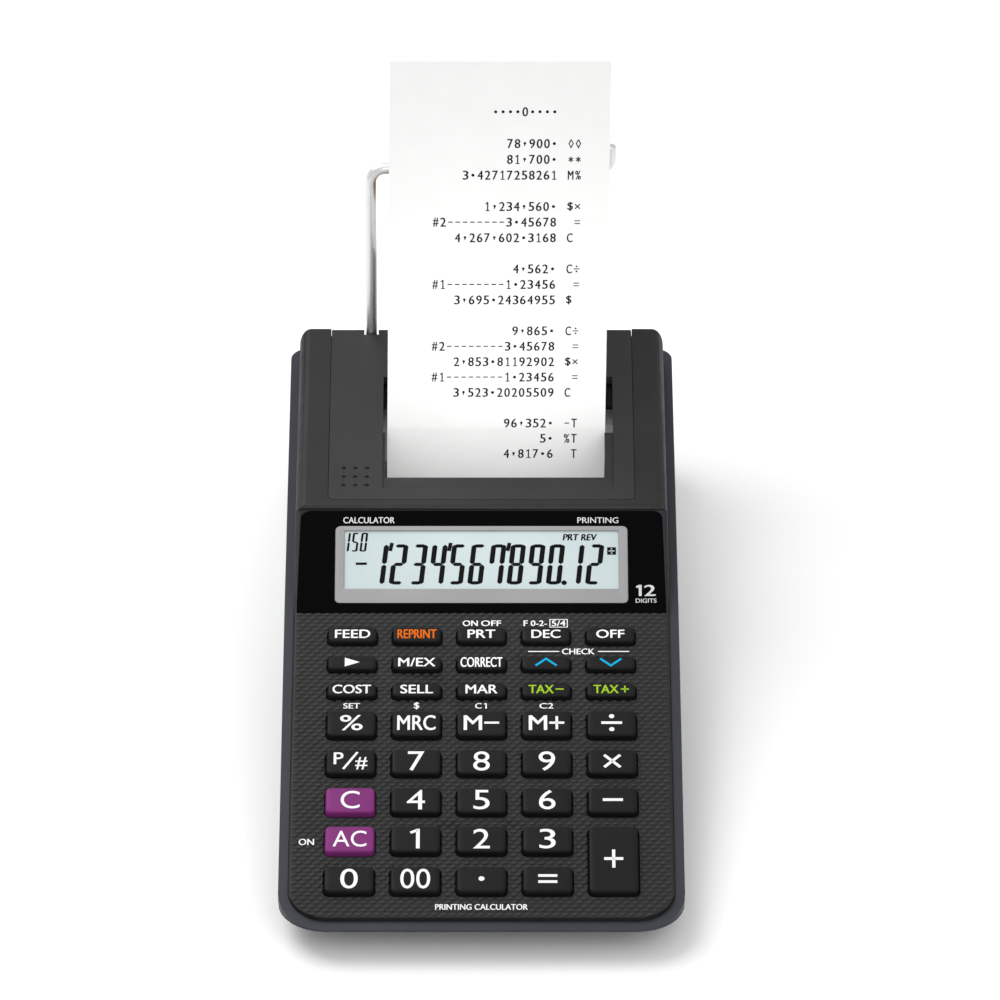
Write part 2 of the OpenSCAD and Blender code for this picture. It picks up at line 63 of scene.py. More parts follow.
class Plane:
    """A sloping surface: across it, up it and out of it, in mm, to a point in the frame."""

    def __init__(self, y, z, slope):
        self.y, self.z = y, z
        self.c, self.s = math.cos(math.radians(slope)), math.sin(math.radians(slope))

    def __call__(self, across, up, out=0.0):
        y = self.y + up * self.c - out * self.s
        z = self.z + up * self.s + out * self.c
        return Vector((across * MM, CASE_FRONT + y * MM, z * MM))

    def inverse(self, point):
        y, z = (point[1] - CASE_FRONT) / MM - self.y, point[2] / MM - self.z
        return point[0] / MM, y * self.c + z * self.s, z * self.c - y * self.s


pad = Plane(UPPER_FRONT, PAD_START_Z, PAD_SLOPE)
PAD_END = (UPPER_FRONT + PAD_LEN * pad.c, PAD_START_Z + PAD_LEN * pad.s)
display = Plane(PAD_END[0], PAD_END[1], DISPLAY_SLOPE)
deck = Plane(DECK_START[0], DECK_START[1], DECK_SLOPE)


# ---------------------------------------------------------------- materials
# the part of a noise texture's output that holds nearly all of its values
NOISE_RANGE = (0.3, 0.7)


class Nodes:
    """Short names for building one material's nodes."""

    def __init__(self, name):
        self.mat = bpy.data.materials.new(name)
        self.mat.use_nodes = True
        self.tree = self.mat.node_tree
        self.bsdf = self.tree.nodes["Principled BSDF"]
        self.coords = self.tree.nodes.new("ShaderNodeTexCoord").outputs["Object"]

    def new(self, kind, **inputs):
        node = self.tree.nodes.new("ShaderNode" + kind)
        for key, value in inputs.items():
            socket = node.inputs[key.replace("_", " ")]
            if isinstance(value, bpy.types.NodeSocket):
                self.tree.links.new(value, socket)
            else:
                socket.default_value = value
        return node

    def link(self, socket, name):
        self.tree.links.new(socket, self.bsdf.inputs[name])

    def noise(self, scale, detail=3.0, stretch=None):
        vector = self.coords
        if stretch:
            mapping = self.new("Mapping", Vector=self.coords)
            mapping.inputs["Scale"].default_value = stretch
            vector = mapping.outputs["Vector"]
        return self.new("TexNoise", Vector=vector, Scale=scale, Detail=detail).outputs["Fac"]

    def spread(self, fac, low, high):
        node = self.new("MapRange", Value=fac)
        node.inputs["From Min"].default_value = NOISE_RANGE[0]
        node.inputs["From Max"].default_value = NOISE_RANGE[1]
        node.inputs["To Min"].default_value = low
        node.inputs["To Max"].default_value = high
        return node.outputs["Result"]

    def tint(self, fac, low, high):
        node = self.new("ValToRGB", Fac=fac)
        for stop, position, rgb in zip(node.color_ramp.elements, NOISE_RANGE, (low, high)):
            stop.position, stop.color = position, (*rgb, 1)
        self.link(node.outputs["Color"], "Base Color")

    def bump(self, height, depth):
        node = self.new("Bump", Height=height, Distance=depth * MM, Strength=1.0)
        self.link(node.outputs["Normal"], "Normal")


def linear(rgb):
    """An sRGB colour of 0 to 255 as linear 0 to 1."""
    return tuple(c / 255 / 12.92 if c <= 10 else ((c / 255 + 0.055) / 1.055) ** 2.4 for c in rgb)


def shade(rgb, factor):
    """A linear colour made darker or lighter."""
    return tuple(min(1.0, c * factor) for c in rgb)


def plastic(name, rgb, rough=0.5, grain=1400.0, depth=0.012, vary=0.06, specular=0.5):
    """Moulded plastic: a fine spark-eroded grain, and a little drift in colour and gloss."""
    n = Nodes(name)
    base = linear(rgb)
    n.tint(n.noise(45.0), shade(base, 1 - vary), shade(base, 1 + vary))
    n.link(n.spread(n.noise(160.0), rough - 0.05, rough + 0.05), "Roughness")
    n.bsdf.inputs["Specular IOR Level"].default_value = specular
    n.bump(n.noise(grain, 4.0), depth)
    return n.mat


def metal(name, rgb, rough=0.25, brushed=(1.0, 1.0, 1.0), depth=0.004):
    """Metal with fine lines along one direction and small changes in polish."""
    n = Nodes(name)
    base = linear(rgb)
    lines = n.noise(900.0, 4.0, brushed)
    n.tint(lines, shade(base, 0.92), shade(base, 1.04))
    n.link(n.spread(lines, rough * 0.7, rough * 1.3), "Roughness")
    n.bsdf.inputs["Metallic"].default_value = 1.0
    n.bump(lines, depth)
    return n.mat


def gloss(name, rgb, rough=0.06, coat=0.5, specular=0.2):
    """Polished or printed plastic: smooth, with faint waves in the polish."""
    n = Nodes(name)
    base = linear(rgb)
    n.tint(n.noise(30.0), shade(base, 0.95), shade(base, 1.05))
    n.link(n.spread(n.noise(90.0), rough * 0.8, rough * 1.4), "Roughness")
    n.bsdf.inputs["Coat Weight"].default_value = coat
    n.bsdf.inputs["Coat Roughness"].default_value = 0.04
    n.bsdf.inputs["Specular IOR Level"].default_value = specular
    n.bump(n.noise(60.0, 1.0), 0.004)
    return n.mat


def rubber(name, rgb, rough=0.8):
    """Matt rubber or felt: a coarse, uneven surface with a soft sheen."""
    n = Nodes(name)
    base = linear(rgb)
    n.tint(n.noise(300.0), shade(base, 0.85), shade(base, 1.15))
    n.link(n.spread(n.noise(500.0), rough - 0.08, rough + 0.08), "Roughness")
    n.bsdf.inputs["Sheen Weight"].default_value = 0.15
    n.bump(n.noise(2200.0, 5.0), 0.02)
    return n.mat


def paper(name, rgb=(250, 250, 249)):
    """Thermal paper: nearly smooth, with faint fibre cloudiness."""
    n = Nodes(name)
    base = linear(rgb)
    n.tint(n.noise(120.0, 5.0), shade(base, 0.975), shade(base, 1.0))
    n.link(n.spread(n.noise(300.0), 0.5, 0.62), "Roughness")
    n.bsdf.inputs["Specular IOR Level"].default_value = 0.3
    n.bump(n.noise(1600.0, 5.0), 0.004)
    return n.mat


def wound_edge(name, centre):
    """The side of a paper roll: fine rings, one for each turn of the paper."""
    n = Nodes(name)
    mapping = n.new("Mapping", Vector=n.coords)
    mapping.inputs["Location"].default_value = (0, -centre.y, -centre.z)
    flat = n.new("Mapping", Vector=mapping.outputs["Vector"])
    flat.inputs["Scale"].default_value = (0, 1, 1)
    wave = n.new("TexWave", Vector=flat.outputs["Vector"], Scale=900.0, Distortion=1.2)
    wave.wave_type, wave.rings_direction = "RINGS", "SPHERICAL"
    base = linear((244, 243, 240))
    n.tint(wave.outputs["Fac"], shade(base, 0.82), base)
    n.bsdf.inputs["Roughness"].default_value = 0.7
    n.bump(wave.outputs["Fac"], 0.03)
    return n.mat


def smoked_clear(name):
    """Thin smoked acrylic: dark, but most of the light goes straight through."""
    n = Nodes(name)
    n.tint(n.noise(25.0), linear((18, 18, 20)), linear((30, 30, 33)))
    n.link(n.spread(n.noise(200.0), 0.04, 0.08), "Roughness")
    n.bsdf.inputs["Alpha"].default_value = 0.015
    return n.mat


def printed_ink(name, rgb, rough=0.45):
    """Screen-printed ink: almost even, a little thinner in places."""
    n = Nodes(name)
    base = linear(rgb)
    n.tint(n.noise(600.0), shade(base, 0.93), base)
    n.link(n.spread(n.noise(700.0), rough - 0.05, rough + 0.05), "Roughness")
    n.bsdf.inputs["Specular IOR Level"].default_value = 0.08
    return n.mat


RIM = plastic("rim_plastic", (45, 47, 54), rough=0.42, specular=0.25)
SHELL = plastic("shell_plastic", (34, 34, 35), rough=0.5, specular=0.2)
COVER = plastic("cover_plastic", (38, 38, 38), rough=0.46, specular=0.25)
PAD_SKIN = plastic("pad_texture", (38, 38, 38), rough=0.4, depth=0.006, specular=0.3)
KEY = plastic("key_plastic", (22, 22, 23), rough=0.42, grain=1900.0, depth=0.006, specular=0.1)
KEY_PURPLE = plastic("key_purple", (122, 44, 112), rough=0.4, grain=1900.0, depth=0.006, specular=0.12)
PANEL = gloss("panel_gloss", (1, 1, 2), rough=0.1, coat=0.0, specular=0.05)
BEZEL = plastic("bezel_grey", (139, 139, 139), rough=0.5)
LCD = gloss("lcd_glass", (181, 193, 194), rough=0.3, coat=0.1)
LCD_INK = printed_ink("lcd_segments", (4, 4, 5), 0.5)
WHITE = printed_ink("legend_white", (240, 240, 240))
SILVER = printed_ink("legend_silver", (200, 202, 204))
ORANGE = printed_ink("legend_orange", (214, 100, 0))
CYAN = printed_ink("legend_cyan", (0, 160, 205))
LIME = printed_ink("legend_lime", (150, 188, 36))
PRINT = printed_ink("receipt_print", (28, 27, 31), 0.6)
PAPER = paper("thermal_paper")
CARD = paper("core_card", (196, 178, 148))
WIRE = metal("wire_chrome", (226, 227, 228), 0.34, (40, 1, 1))
STEEL = metal("stamped_steel", (168, 170, 174), 0.32, (1, 30, 1))
SCREW = metal("screw_steel", (150, 150, 153), 0.3)
BLACK_RUBBER = rubber("black_rubber", (30, 30, 31))
MAT_RUBBER = rubber("key_mat_rubber", (178, 178, 168))
INK_FELT = rubber("ink_felt", (58, 42, 102), 0.92)
SMOKED = smoked_clear("smoked_window")
BOARD = gloss("solder_mask", (36, 96, 54), 0.3)
CELL = gloss("cell_wrap", (34, 34, 38), 0.2)
CARRIAGE = plastic("carriage_plastic", (206, 206, 200), rough=0.5)
JACK = plastic("jack_plastic", (22, 22, 23), rough=0.4)


# ---------------------------------------------------------------- meshes
def mesh_piece(name, verts, faces, materials, body, node=None, face_material=None, sharp=35):
    """A new piece from points and faces, that rides on a body and may stand for a CAD node."""
    mesh = bpy.data.meshes.new(name)
    mesh.from_pydata([tuple(v) for v in verts], [], faces)
    for material in materials if isinstance(materials, list) else [materials]:
        mesh.materials.append(material)
    if face_material is not None:
        mesh.polygons.foreach_set("material_index", face_material)
    mesh.validate()
    mesh.shade_smooth()
    mesh.set_sharp_from_angle(angle=math.radians(sharp))
    piece = bpy.data.objects.new(name, mesh)
    bpy.context.scene.collection.objects.link(piece)
    if body:
        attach(piece, body)
    if node:
        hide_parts(node)
    return piece


def rounded_rect(w, d, r, steps=6):
    """Corner-rounded outline, anticlockwise from the right side of the near edge."""
    points = []
    for cx, cy, start in ((1, -1, -90), (1, 1, 0), (-1, 1, 90), (-1, -1, 180)):
        for i in range(steps + 1):
            a = math.radians(start + 90 * i / steps)
            points.append((cx * (w / 2 - r) + r * math.cos(a), cy * (d / 2 - r) + r * math.sin(a)))
    return points


def loft(rings, cap_end=True):
    """Points and faces that join rings of equal numbers of points, closed at the ends."""
    n = len(rings[0])
    verts = [p for ring in rings for p in ring]
    faces = []
    for k in range(len(rings) - 1):
        for i in range(n):
            j = (i + 1) % n
            faces.append((k * n + i, k * n + j, (k + 1) * n + j, (k + 1) * n + i))
    faces.append(tuple(reversed(range(n))))
    if cap_end:
        faces.append(tuple(range((len(rings) - 1) * n, len(rings) * n)))
    return verts, faces


def joined(parts):
    """Several (verts, faces) as one."""
    verts, faces = [], []
    for v, f in parts:
        base = len(verts)
        verts += list(v)
        faces += [tuple(i + base for i in face) for face in f]
    return verts, faces


# ---------------------------------------------------------------- marks: flat shapes and letters
# A mark is (points, faces) in mm on its surface. A point may have a third value, its lift.
def outline_mark(points):
    return list(points), [tuple(range(len(points)))]


def disc_mark(x, y, r, sides=20):
    turns = [2 * math.pi * i / sides for i in range(sides)]
    return outline_mark([(x + r * math.cos(a), y + r * math.sin(a)) for a in turns])


def bar_mark(x, y, w, h):
    corners = ((-1, -1), (1, -1), (1, 1), (-1, 1))
    return outline_mark([(x + i * w / 2, y + j * h / 2) for i, j in corners])


def stroke_mark(points, width):
    """A line of even width through the points, with mitred bends and square ends."""
    pts = [Vector(p) for p in points]
    left, right = [], []
    for i, p in enumerate(pts):
        a = (p - pts[i - 1]).normalized() if i else (pts[1] - p).normalized()
        b = (pts[i + 1] - p).normalized() if i < len(pts) - 1 else a
        normal = Vector((-(a + b).y, (a + b).x)).normalized()
        reach = width / 2 / max(0.3, normal.dot(Vector((-a.y, a.x))))
        left.append(tuple(p + normal * reach))
        right.append(tuple(p - normal * reach))
    n = len(pts)
    return left + right, [(i, n + i, n + i + 1, i + 1) for i in range(n - 1)]


def frame_mark(w, h, line):
    """The outline of a box as four bars."""
    return joined([
        bar_mark(0, h / 2 - line / 2, w, line), bar_mark(0, line / 2 - h / 2, w, line),
        bar_mark(w / 2 - line / 2, 0, line, h - 2 * line), bar_mark(line / 2 - w / 2, 0, line, h - 2 * line),
    ])


# the second layer of a bold word lies this much higher, so that the two don't share a plane
BOLD_LIFT = 0.012
_letters = {}


def letters(text):
    """The outlines of a word in the built-in font, filled, as (verts, faces)."""
    if text not in _letters:
        curve = bpy.data.curves.new("word", "FONT")
        curve.body, curve.resolution_u = text, 5
        holder = bpy.data.objects.new("word", curve)
        bpy.context.scene.collection.objects.link(holder)
        depsgraph = bpy.context.evaluated_depsgraph_get()
        mesh = bpy.data.meshes.new_from_object(holder.evaluated_get(depsgraph))
        verts = [tuple(v.co.xy) for v in mesh.vertices]
        _letters[text] = verts, [tuple(p.vertices) for p in mesh.polygons]
        bpy.data.objects.remove(holder)
        bpy.data.curves.remove(curve)
        bpy.data.meshes.remove(mesh)
    return _letters[text]


def fitted(mark, w, h, x, y, slant):
    """A mark scaled to w by h, with its middle at x, y, and leaning by slant."""
    verts, faces = mark
    lo = [min(v[k] for v in verts) for k in (0, 1)]
    hi = [max(v[k] for v in verts) for k in (0, 1)]
    sx, sy = w / (hi[0] - lo[0]), h / (hi[1] - lo[1])
    mid = [(lo[k] + hi[k]) / 2 for k in (0, 1)]
    placed = []
    for v in verts:
        up = (v[1] - mid[1]) * sy
        placed.append((x + (v[0] - mid[0]) * sx + slant * up, y + up))
    return placed, faces


def moved(mark, x, y):
    return [(v[0] + x, v[1] + y, *v[2:]) for v in mark[0]], mark[1]


def lifted(mark, lift):
    return [(v[0], v[1], lift) for v in mark[0]], mark[1]


def word(text, w, h, x=0.0, y=0.0, bold=0.0, slant=0.0):
    """A word of a given size. A bold one is laid down twice, bold mm apart."""
    if not bold:
        return fitted(letters(text), w, h, x, y, slant)
    size = (w - bold, h - bold / 3)
    lower = fitted(letters(text), *size, x - bold / 2, y - bold / 6, slant)
    upper = fitted(letters(text), *size, x + bold / 2, y + bold / 6, slant)
    return joined([lower, lifted(upper, BOLD_LIFT)])


def one_mark(h, line):
    """A figure one: an upright with a flag."""
    return joined([bar_mark(h * 0.09, 0, line, h),
                   stroke_mark([(h * 0.09, h / 2 - line * 0.35), (-h * 0.2, h * 0.3)], line * 0.85)])


def marks_piece(name, marks, plane, out, material, body):
    """A piece of flat marks laid on a plane, out mm above it."""
    verts, faces = joined(marks)
    spots = [plane(v[0], v[1], out + (v[2] if len(v) > 2 else 0.0)) for v in verts]
    return mesh_piece(name, spots, faces, material, body)


# ---------------------------------------------------------------- CAD nodes that stay as they are
WELD_GAP = 0.002
EDGE_ANGLE = math.radians(24)


def finish_node(node, material, rounding):
    """A CAD node with its material, rounded edges and smooth curved faces."""
    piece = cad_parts[node]
    piece.data.materials.clear()
    piece.data.materials.append(material)
    weld = piece.modifiers.new("weld", "WELD")
    weld.merge_threshold = WELD_GAP * MM
    edges = piece.modifiers.new("edges", "BEVEL")
    edges.width, edges.segments = rounding * MM, 3
    edges.limit_method, edges.angle_limit = "ANGLE", EDGE_ANGLE
    edges.use_clamp_overlap = True
    piece.data.shade_smooth()
    piece.data.set_sharp_from_angle(angle=EDGE_ANGLE)
    normals = piece.modifiers.new("normals", "WEIGHTED_NORMAL")
    normals.keep_sharp, normals.weight = False, 100


# each node's material, and the rounding of its edges in mm
KEPT_NODES = {
    "lower_case": (RIM, 0.25), "battery_door": (RIM, 0.2), "upper_case": (SHELL, 0.2),
    "printer_cover": (COVER, 0.15), "display_panel": (PANEL, 0.15),
    "case_screws": (SCREW, 0.1), "rubber_feet": (BLACK_RUBBER, 0.4), "dc_jack": (JACK, 0.2),
    "keypad_rubber": (MAT_RUBBER, 0.2), "main_board": (BOARD, 0.1), "batteries": (CELL, 0.4),
    "printer_frame": (STEEL, 0.15), "platen_roller": (BLACK_RUBBER, 0.25),
    "print_carriage": (CARRIAGE, 0.25), "type_wheel": (BLACK_RUBBER, 0.2), "ink_roller": (INK_FELT, 0.3),
    "tear_bar": (SMOKED, 0.05),
}
for kept, (finish, rounding) in KEPT_NODES.items():
    finish_node(kept, finish, rounding)


# ---------------------------------------------------------------- keys
# the flange that holds a key under the pad, the height of its face and of its rounded upper edge,
# the draft of its sides, and its corners
KEY_FLANGE, FLANGE_T = 0.8, 1.0
KEY_TOP, KEY_EDGE, KEY_DRAFT = 1.5, 0.5, 0.16
KEY_CORNER, KEY_CORNER_MIN = 1.3, 0.25
KEY_MARK_OUT = 0.07


def key_rect(node):
    """A key cap's middle, width and depth on the pad, and its foot, from its CAD solid."""
    spots = np.array([pad.inverse(v.co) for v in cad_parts[node].data.vertices])
    top = spots[spots[:, 2] > KEY_TOP - 0.1]
    lo, hi = top.min(0), top.max(0)
    return (lo[0] + hi[0]) / 2, (lo[1] + hi[1]) / 2, hi[0] - lo[0], hi[1] - lo[1], spots[:, 2].min()


def divide_mark():
    return joined([bar_mark(0, 0, 5.3, 0.85), disc_mark(0, 2.2, 0.68), disc_mark(0, -2.2, 0.68)])


def cross_mark(size, width):
    arm = size / 2
    return joined([stroke_mark([(-arm, -k * arm), (arm, k * arm)], width) for k in (1, -1)])


def plus_mark(w, h, line):
    return joined([bar_mark(0, 0, w, line * 1.15), bar_mark(0, 0, line, h)])


def chevron_mark(sign):
    return stroke_mark([(-2.7, -1.2 * sign), (0, 1.2 * sign), (2.7, -1.2 * sign)], 0.62)


def paper_number_mark():
    return joined([
        word("P", 2.5, 4.0, -3.1, 0.9, 0.15), stroke_mark([(-1.9, -2.7), (1.7, 3.0)], 0.62),
        word("#", 3.1, 4.2, 2.7, -0.8, 0.1),
    ])


def memory_mark(sign):
    return joined([word("M", 4.7, 5.0, -2.2, 0, 0.16), moved(sign, 2.6, 0)])


def tax_mark(sign):
    return joined([word("TAX", 6.5, 2.9, -1.3, 0, 0.16), sign])


# word, width and height of what is printed on the keys, and its boldness, in mm
DIGIT_H = 6.5
BOLD = 0.14
KEY_WORDS = {
    "feed": ("FEED", 9.1, 2.9, BOLD), "reprint": ("REPRINT", 10.1, 3.1, BOLD),
    "print_mode": ("PRT", 7.2, 2.9, BOLD), "decimal_mode": ("DEC", 7.5, 2.9, BOLD),
    "off": ("OFF", 7.3, 2.9, BOLD), "exchange": ("M/EX", 9.6, 3.0, BOLD),
    "correct": ("CORRECT", 10.8, 3.4, 0.12), "cost": ("COST", 9.9, 3.0, BOLD),
    "sell": ("SELL", 8.4, 3.0, BOLD), "margin": ("MAR", 8.2, 3.0, BOLD),
    "percent": ("%", 5.8, 5.2, 0.16), "memory_recall": ("MRC", 9.8, 5.1, 0.16),
    "clear": ("C", 4.8, 5.9, 0), "all_clear": ("AC", 8.5, 5.3, 0), "00": ("00", 7.5, DIGIT_H, 0),
}
DIGIT_W = {"0": 4.4, "2": 4.2, "3": 4.1, "4": 4.6, "5": 4.1, "6": 4.2, "7": 4.2, "8": 4.2, "9": 4.2}
KEY_WORDS.update({digit: (digit, width, DIGIT_H, 0) for digit, width in DIGIT_W.items()})
KEY_SIGNS = {
    "backspace": outline_mark([(-1.9, -1.5), (1.9, 0), (-1.9, 1.5)]),
    "check_up": chevron_mark(1), "check_down": chevron_mark(-1),
    "tax_minus": tax_mark(bar_mark(3.4, 0, 2.1, 0.42)),
    "tax_plus": tax_mark(moved(plus_mark(2.1, 2.3, 0.38), 3.5, 0)),
    "memory_minus": memory_mark(bar_mark(0, 0, 3.8, 0.7)),
    "memory_plus": memory_mark(plus_mark(3.8, 4.4, 0.65)),
    "divide": divide_mark(), "paper_number": paper_number_mark(), "multiply": cross_mark(4.1, 0.8),
    "minus": bar_mark(0, 0, 5.1, 0.9), "plus": plus_mark(4.8, 6.0, 0.8),
    "1": one_mark(DIGIT_H, 0.95), "point": disc_mark(0, 0, 0.75),
    "equals": joined([bar_mark(0, 1.0, 4.8, 0.85), bar_mark(0, -1.0, 4.8, 0.85)]),
}
KEY_INKS = {"reprint": ORANGE, "check_up": CYAN, "check_down": CYAN, "tax_minus": LIME, "tax_plus": LIME}


def key_mark(key):
    if key in KEY_SIGNS:
        return KEY_SIGNS[key]
    text, w, h, bold = KEY_WORDS[key]
    return word(text, w, h, bold=bold)


def build_key(node):
    """A key: its flange under the pad, drafted sides, rounded upper edge and slightly domed face."""
    x, up, w, d, foot = key_rect(node)
    flange_top = foot + FLANGE_T
    profile = [(-KEY_FLANGE, foot), (-KEY_FLANGE, flange_top), (0, flange_top), (0.0, 0.4),
               (KEY_DRAFT, KEY_TOP - KEY_EDGE)]
    for i in range(1, 5):
        a = math.radians(90 * i / 4)
        profile.append((KEY_DRAFT + KEY_EDGE * (1 - math.cos(a)), KEY_TOP - KEY_EDGE * (1 - math.sin(a))))
    profile += [(1.2, KEY_TOP + 0.03), (2.0, KEY_TOP + 0.045)]
    rings = []
    for inset, height in profile:
        corner = max(KEY_CORNER_MIN, KEY_CORNER - inset * 0.6)
        shape = rounded_rect(w - 2 * inset, d - 2 * inset, corner)
        rings.append([pad(x + px, up + py, height) for px, py in shape])
    verts, faces = loft(rings)
    key = node.removeprefix("key_")
    material, slot = (KEY_PURPLE, "keys_purple") if key in ("clear", "all_clear") else (KEY, "keys")
    mesh_piece(node + "_cap", verts, faces, material, node, node, sharp=50)
    marks_piece(node + "_legend", [moved(key_mark(key), x, up)], pad, KEY_TOP + KEY_MARK_OUT,
                KEY_INKS.get(key, WHITE), node)
    return x, up, w, d


KEYS = sorted(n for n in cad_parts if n.startswith("key_"))
KEY_RECTS = {node: build_key(node) for node in KEYS}


# ---------------------------------------------------------------- textured pad and its legends
PILL_PITCH = (2.35, 1.3)
PILL_HALF = (0.98, 0.46)
PILL_LEAN = math.radians(14)
PILL_H, PILL_SUNK = 0.34, 0.02
# each ring of a pill: its size and its height, as shares of the whole
PILL_RINGS = ((1.0, 0.0), (0.86, 0.55), (0.5, 0.9))
PILL_SIDES = 12
FIRST_ROW, LAST_ROW_GAP = 0.9, 1.2
# a pill is left out when its middle is this close to a key's hole or the pad's side, and its points
# stay a little clear of them
KEY_SKIP, KEY_CLEAR = 0.12, 0.34
SIDE_SKIP, SIDE_CLEAR = 0.35, 0.15
CORNER_R = 9.5


def pad_half_width(up):
    """Half the pad's width at a distance up from its front edge, following the rounded front corners."""
    y = up * pad.c
    if y >= CORNER_R:
        return UPPER_HALF_W
    return UPPER_HALF_W - CORNER_R + math.sqrt(max(0.0, CORNER_R ** 2 - (CORNER_R - y) ** 2))


def clear_of_keys(x, up, gap):
    """The point, pushed out of any key's hole that it falls in."""
    for kx, ku, w, d in KEY_RECTS.values():
        hw, hd = w / 2 + gap, d / 2 + gap
        dx, du = x - kx, up - ku
        if abs(dx) < hw and abs(du) < hd:
            if hw - abs(dx) < hd - abs(du):
                x = kx + math.copysign(hw, dx)
            else:
                up = ku + math.copysign(hd, du)
    return x, up


def pill(x0, up0):
    """One leaning pill, trimmed where it would reach a key's hole or the pad's side."""
    c, s = math.cos(PILL_LEAN), math.sin(PILL_LEAN)
    rings = []
    for size, height in PILL_RINGS:
        ring = []
        for i in range(PILL_SIDES):
            a = 2 * math.pi * i / PILL_SIDES
            px, py = PILL_HALF[0] * size * math.cos(a), PILL_HALF[1] * size * math.sin(a)
            x, up = clear_of_keys(x0 + px * c - py * s, up0 + px * s + py * c, KEY_CLEAR)
            edge = pad_half_width(up) - SIDE_CLEAR
            ring.append(pad(max(-edge, min(edge, x)), up, height * PILL_H - PILL_SUNK))
        rings.append(ring)
    verts, faces = loft(rings, cap_end=False)
    verts.append(pad(*clear_of_keys(x0, up0, KEY_CLEAR), PILL_H - PILL_SUNK))
    last = (len(rings) - 1) * PILL_SIDES
    faces += [(last + i, last + (i + 1) % PILL_SIDES, len(verts) - 1) for i in range(PILL_SIDES)]
    return verts, faces


def build_pad_texture():
    """Rows of small leaning pills, each row half a pitch along from the next."""
    parts = []
    count = int(UPPER_HALF_W / PILL_PITCH[0]) + 1
    for row in range(int((PAD_LEN - LAST_ROW_GAP) / PILL_PITCH[1]) + 1):
        up = FIRST_ROW + row * PILL_PITCH[1]
        for col in range(-count, count + 1):
            x = (col + 0.5 * (row % 2)) * PILL_PITCH[0]
            on_pad = abs(x) <= pad_half_width(up) - SIDE_SKIP
            if on_pad and clear_of_keys(x, up, KEY_SKIP) == (x, up):
                parts.append(pill(x, up))
    verts, faces = joined(parts)
    mesh_piece("pad_texture", verts, faces, PAD_SKIN, "case", sharp=80)


build_pad_texture()
PAD_MARK_OUT = 0.37
MODE_ROW, CHECK_ROW, MEMORY_ROW = 98.95, 89.15, 70.4
# text, width, height and middle of the words on the pad
PAD_WORDS = [
    ("ON", 3.9, 2.0, -2.9, MODE_ROW), ("OFF", 5.2, 2.0, 2.5, MODE_ROW), ("F", 1.1, 2.0, 11.4, MODE_ROW),
    ("0-2-", 4.2, 2.0, 14.8, MODE_ROW), ("5/4", 3.6, 2.0, 19.9, MODE_ROW),
    ("CHECK", 8.4, 2.0, 24.9, CHECK_ROW), ("SET", 4.3, 1.9, -33.2, MEMORY_ROW),
    ("$", 1.4, 2.5, -16.6, MEMORY_ROW), ("C", 1.7, 1.9, -0.8, MEMORY_ROW),
    ("C2", 3.6, 1.9, 16.6, MEMORY_ROW), ("ON", 3.9, 2.1, -44.1, 24.5),
    ("PRINTING CALCULATOR", 23.2, 1.9, 0, 3.1),
]
pad_marks = [word(text, w, h, x, up, bold=0.1) for text, w, h, x, up in PAD_WORDS]
pad_marks += [
    moved(frame_mark(4.7, 2.9, 0.22), 19.9, MODE_ROW), moved(one_mark(1.9, 0.36), 1.0, MEMORY_ROW),
    bar_mark(16.0, CHECK_ROW, 8.0, 0.32), bar_mark(34.0, CHECK_ROW, 8.0, 0.32),
]
marks_piece("pad_legends", pad_marks, pad, PAD_MARK_OUT, WHITE, "case")


# ---------------------------------------------------------------- display
# sizes, distances up the display's slope, and depths under its surface
BEZEL_SIZE, BEZEL_MID, BEZEL_CORNER = (76.0, 23.5), 15.0, 1.3
GLASS_SIZE, GLASS_MID, GLASS_CORNER = (71.4, 17.9), 16.5, 0.4
BEZEL_DEPTH, GLASS_DEPTH, GLASS_BACK = 3.4, 0.55, 1.6


def display_ring(shape, mid, out, grow=1.0):
    return [display(px * grow, mid + py * grow, out) for px, py in shape]


def build_display_module():
    """The grey bezel with its sloping inner edge, and the glass set into it."""
    outer = rounded_rect(*BEZEL_SIZE, BEZEL_CORNER)
    inner = rounded_rect(*GLASS_SIZE, GLASS_CORNER)
    verts, faces = loft([
        display_ring(outer, BEZEL_MID, -BEZEL_DEPTH), display_ring(outer, BEZEL_MID, -0.15),
        display_ring(outer, BEZEL_MID, -0.02, 0.997), display_ring(inner, GLASS_MID, 0.0, 1.006),
        display_ring(inner, GLASS_MID, -0.08), display_ring(inner, GLASS_MID, -GLASS_DEPTH - 0.1, 0.996),
    ], cap_end=False)
    mesh_piece("display_bezel", verts, faces, BEZEL, "case", "lcd_module")
    depths = (-GLASS_BACK, -GLASS_DEPTH)
    verts, faces = loft([display_ring(inner, GLASS_MID, out, 0.997) for out in depths])
    mesh_piece("display_glass", verts, faces, LCD, "case")


# the bars of each digit, lettered a to g in the usual way
SEGMENTS = {
    "0": "abcdef", "1": "bc", "2": "abged", "3": "abgcd", "4": "fgbc",
    "5": "afgcd", "6": "afgedc", "7": "fabc", "8": "abcdefg", "9": "abcdfg",
}
LCD_SLANT = 0.1
DIGIT_PITCH, FIRST_DIGIT, DIGIT_MID = 5.09, -26.6, 15.3
SMALL_PITCH, FIRST_SMALL, SMALL_MID = 2.25, -35.1, 22.1
SIGN_SPOT = (33.8, 19.4)


